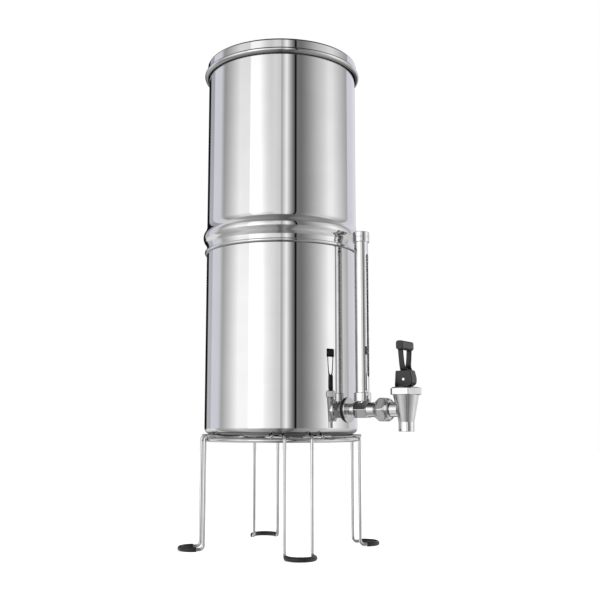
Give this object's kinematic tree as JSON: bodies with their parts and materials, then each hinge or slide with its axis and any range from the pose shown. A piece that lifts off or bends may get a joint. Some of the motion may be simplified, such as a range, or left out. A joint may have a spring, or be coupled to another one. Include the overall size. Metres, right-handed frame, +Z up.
{
  "type": "gravity water filter",
  "caption": "Polished steel gravity water filter: a lidded upper chamber nested on a lower one, a wire stand with looped feet, a lever tap and a slotted sight glass.",
  "frame": {"origin": "on the ground, under the axis of the two chambers", "axes": "+Z up along the chambers' axis; -Y is the front, where the tap and the sight glass stand; the part is symmetric about the YZ plane"},
  "size_m": [0.201, 0.292, 0.6432],
  "materials": {
    "polished_steel": "mirror-polished stainless steel sheet",
    "wire_steel": "bright plated steel wire",
    "plated_brass": "bright chrome plating over turned brass",
    "black_plastic": "fine matt black moulding",
    "black_rubber": "smooth black rubber",
    "seal_silicone": "translucent off-white silicone",
    "carbon_element": "dull black pressed carbon",
    "clear_glass": "clear glass tube"
  },
  "bodies": {
    "stand": {"stand_ring": "wire_steel", "stand_leg_front_left": "wire_steel", "stand_leg_front_right": "wire_steel", "stand_leg_back_left": "wire_steel", "stand_leg_back_right": "wire_steel", "foot_sleeve_front_left": "black_rubber", "foot_sleeve_front_right": "black_rubber", "foot_sleeve_back_left": "black_rubber", "foot_sleeve_back_right": "black_rubber"},
    "lower_unit": {"lower_chamber": "polished_steel", "shank": "plated_brass", "outer_gasket": "black_rubber", "inner_gasket": "black_rubber", "shank_lock_nut": "plated_brass", "sight_block": "plated_brass", "union_nut": "plated_brass", "union_seal": "black_rubber", "tap_body": "plated_brass", "bonnet": "plated_brass", "sight_collar": "plated_brass", "sight_guard": "plated_brass", "sight_glass": "clear_glass", "sight_seals": "black_rubber", "sight_cap": "plated_brass"},
    "upper_unit": {"upper_chamber": "polished_steel", "filter_element_left": "carbon_element", "filter_element_right": "carbon_element", "filter_base_left": "black_plastic", "filter_base_right": "black_plastic", "filter_washers": "black_rubber", "filter_wing_nuts": "black_plastic"},
    "lid_unit": {"lid": "polished_steel", "lid_knob": "black_plastic", "lid_knob_screw": "plated_brass", "lid_knob_washer": "black_rubber"},
    "stem": {"valve_stem": "plated_brass", "seat_cup": "seal_silicone", "return_spring": "wire_steel"},
    "lever": {"tap_lever": "black_plastic", "lever_pin": "plated_brass"}
  },
  "joints": [
    {"name": "lower_lift", "type": "slide", "parent": "stand", "child": "lower_unit", "axis": [0, 0, 1], "range_m": [0, 0.05]},
    {"name": "upper_lift", "type": "slide", "parent": "lower_unit", "child": "upper_unit", "axis": [0, 0, 1], "range_m": [0, 0.12]},
    {"name": "lid_lift", "type": "slide", "parent": "upper_unit", "child": "lid_unit", "axis": [0, 0, 1], "range_m": [0, 0.06]},
    {"name": "stem_lift", "type": "slide", "parent": "lower_unit", "child": "stem", "axis": [0, 0, 1], "range_m": [0, 0.0021], "deforming": ["return_spring"]},
    {"name": "lever_tilt", "type": "hinge", "parent": "stem", "child": "lever", "pos_m": [0, -0.1716, 0.2003], "axis": [1, 0, 0], "range_deg": [0, 40]}
  ],
  "couplings": [
    {"joint": "stem_lift", "follows": "lever_tilt", "m_per_rad": 0.0028}
  ]
}
